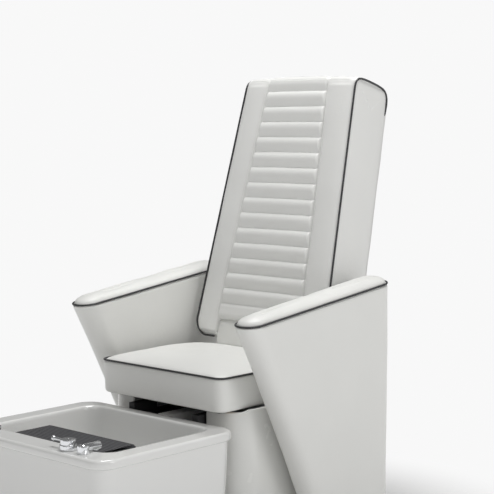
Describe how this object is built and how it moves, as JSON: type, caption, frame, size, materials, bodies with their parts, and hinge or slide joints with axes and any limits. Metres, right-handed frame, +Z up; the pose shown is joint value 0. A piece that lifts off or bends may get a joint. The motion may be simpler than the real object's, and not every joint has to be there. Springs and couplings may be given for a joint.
{
  "type": "pedicure spa chair",
  "caption": "Upholstered reclining pedicure chair with piped arms and ribbed back, on a slide behind a white foot bath.",
  "frame": {"origin": "middle of the chair's outline on the floor, with the back at rest", "axes": "+X to the sitter's left, -Y towards the foot bath and the sitter's feet, +Z up"},
  "size_m": [0.856, 1.3648, 1.4575],
  "materials": {
    "white_vinyl": "satin",
    "ribbed_vinyl": "satin",
    "charcoal_welt": "satin",
    "white_gelcoat": "gloss",
    "base_gelcoat": "gloss",
    "black_steel": "satin",
    "white_paint": "satin",
    "zinc_steel": "satin",
    "extruded_aluminium": "satin",
    "chrome": "polished",
    "brass": "satin",
    "black_plastic": "matte",
    "grey_plastic": "matte",
    "grey_pvc": "matte",
    "black_rubber": "matte",
    "footrest_rubber": "matte",
    "plywood": "matte"
  },
  "bodies": {
    "base": {"base_plate": "black_steel", "leveling_feet": "black_rubber", "rail_beam_left": "black_steel", "rail_beam_right": "black_steel", "slide_rail_left": "black_steel", "slide_rail_right": "black_steel", "base_side_panel_left": "base_gelcoat", "base_side_panel_right": "base_gelcoat", "base_rear_panel": "base_gelcoat", "rear_panel_screws": "zinc_steel", "control_box": "grey_plastic", "power_inlet": "black_plastic", "slide_actuator_tube": "white_paint", "tub_basin": "white_gelcoat", "tub_skirt": "white_gelcoat", "drain_fitting": "chrome", "drain_pipe": "grey_pvc", "jet_covers": "chrome", "supply_inlets": "brass", "filler_spout": "chrome", "mixer_body": "chrome", "footrest_bracket": "chrome", "footrest_pin": "chrome", "arm_panel_left": "white_vinyl", "arm_panel_right": "white_vinyl", "arm_pad_left": "white_vinyl", "arm_pad_right": "white_vinyl", "arm_piping_left": "charcoal_welt", "arm_piping_right": "charcoal_welt", "arm_spacers": "black_rubber", "keypad_housing": "black_plastic"},
    "seat": {"seat_board": "plywood", "seat_frame": "black_steel", "slide_runner_left": "zinc_steel", "slide_runner_right": "zinc_steel", "seat_cushion": "white_vinyl", "seat_piping": "charcoal_welt", "hinge_ears": "zinc_steel", "slide_actuator_rod": "zinc_steel", "recline_actuator": "extruded_aluminium"},
    "back": {"back_board": "plywood", "back_cushion": "ribbed_vinyl", "lumbar_flap": "white_vinyl", "back_piping_left": "charcoal_welt", "back_piping_right": "charcoal_welt", "back_rear_cover": "white_vinyl", "back_hinge_arms": "zinc_steel", "hinge_pins": "zinc_steel", "recline_lever": "zinc_steel"},
    "recline_rod": {"recline_rod": "zinc_steel"},
    "footrest": {"footrest_plate": "chrome", "footrest_pad": "footrest_rubber"},
    "drain_knob": {"drain_knob": "chrome"},
    "drain_plug": {"drain_plug": "chrome"},
    "mixer_lever": {"mixer_lever": "chrome"},
    "impeller_left": {"impeller_left": "black_plastic"},
    "impeller_right": {"impeller_right": "black_plastic"},
    "slide_key": {"slide_key": "grey_plastic"},
    "recline_key": {"recline_key": "grey_plastic"}
  },
  "joints": [
    {"name": "seat_slide", "type": "slide", "parent": "base", "child": "seat", "axis": [0, -1, 0], "range_m": [-0.06, 0.1]},
    {"name": "back_recline", "type": "hinge", "parent": "seat", "child": "back", "pos_m": [0, 0.35773, 0.50988], "axis": [-1, 0, 0], "range_deg": [0, 32]},
    {"name": "recline_rod_slide", "type": "slide", "parent": "seat", "child": "recline_rod", "axis": [0, -1, 0], "range_m": [0, 0.05237]},
    {"name": "footrest_tilt", "type": "hinge", "parent": "base", "child": "footrest", "pos_m": [0, -0.59245, 0.389], "axis": [1, 0, 0], "range_deg": [0, 75]},
    {"name": "drain_knob_turn", "type": "hinge", "parent": "base", "child": "drain_knob", "pos_m": [-0.18, -0.64245, 0.418], "axis": [0, 0, 1], "range_deg": [0, 90]},
    {"name": "drain_plug_lift", "type": "slide", "parent": "base", "child": "drain_plug", "axis": [0, 0, 1], "range_m": [0, 0.01]},
    {"name": "mixer_turn", "type": "hinge", "parent": "base", "child": "mixer_lever", "pos_m": [0.15, -0.64245, 0.434], "axis": [0, 0, 1], "range_deg": [-45, 45]},
    {"name": "impeller_left_spin", "type": "hinge", "parent": "base", "child": "impeller_left", "pos_m": [0.13, -0.19345, 0.25], "axis": [0, 1, 0], "continuous": true},
    {"name": "impeller_right_spin", "type": "hinge", "parent": "base", "child": "impeller_right", "pos_m": [-0.13, -0.19345, 0.25], "axis": [0, 1, 0], "continuous": true},
    {"name": "slide_key_rock", "type": "hinge", "parent": "base", "child": "slide_key", "pos_m": [0.299, -0.06245, 0.676], "axis": [0, 0, 1], "range_deg": [-5, 5], "stiffness_Nm_per_rad": 0.3},
    {"name": "recline_key_rock", "type": "hinge", "parent": "base", "child": "recline_key", "pos_m": [0.299, -0.02245, 0.676], "axis": [0, 0, 1], "range_deg": [-5, 5], "stiffness_Nm_per_rad": 0.3}
  ],
  "couplings": [
    {"joint": "recline_rod_slide", "follows": "back_recline", "m_per_rad": 0.09377},
    {"joint": "drain_plug_lift", "follows": "drain_knob_turn", "m_per_rad": 0.006366}
  ]
}
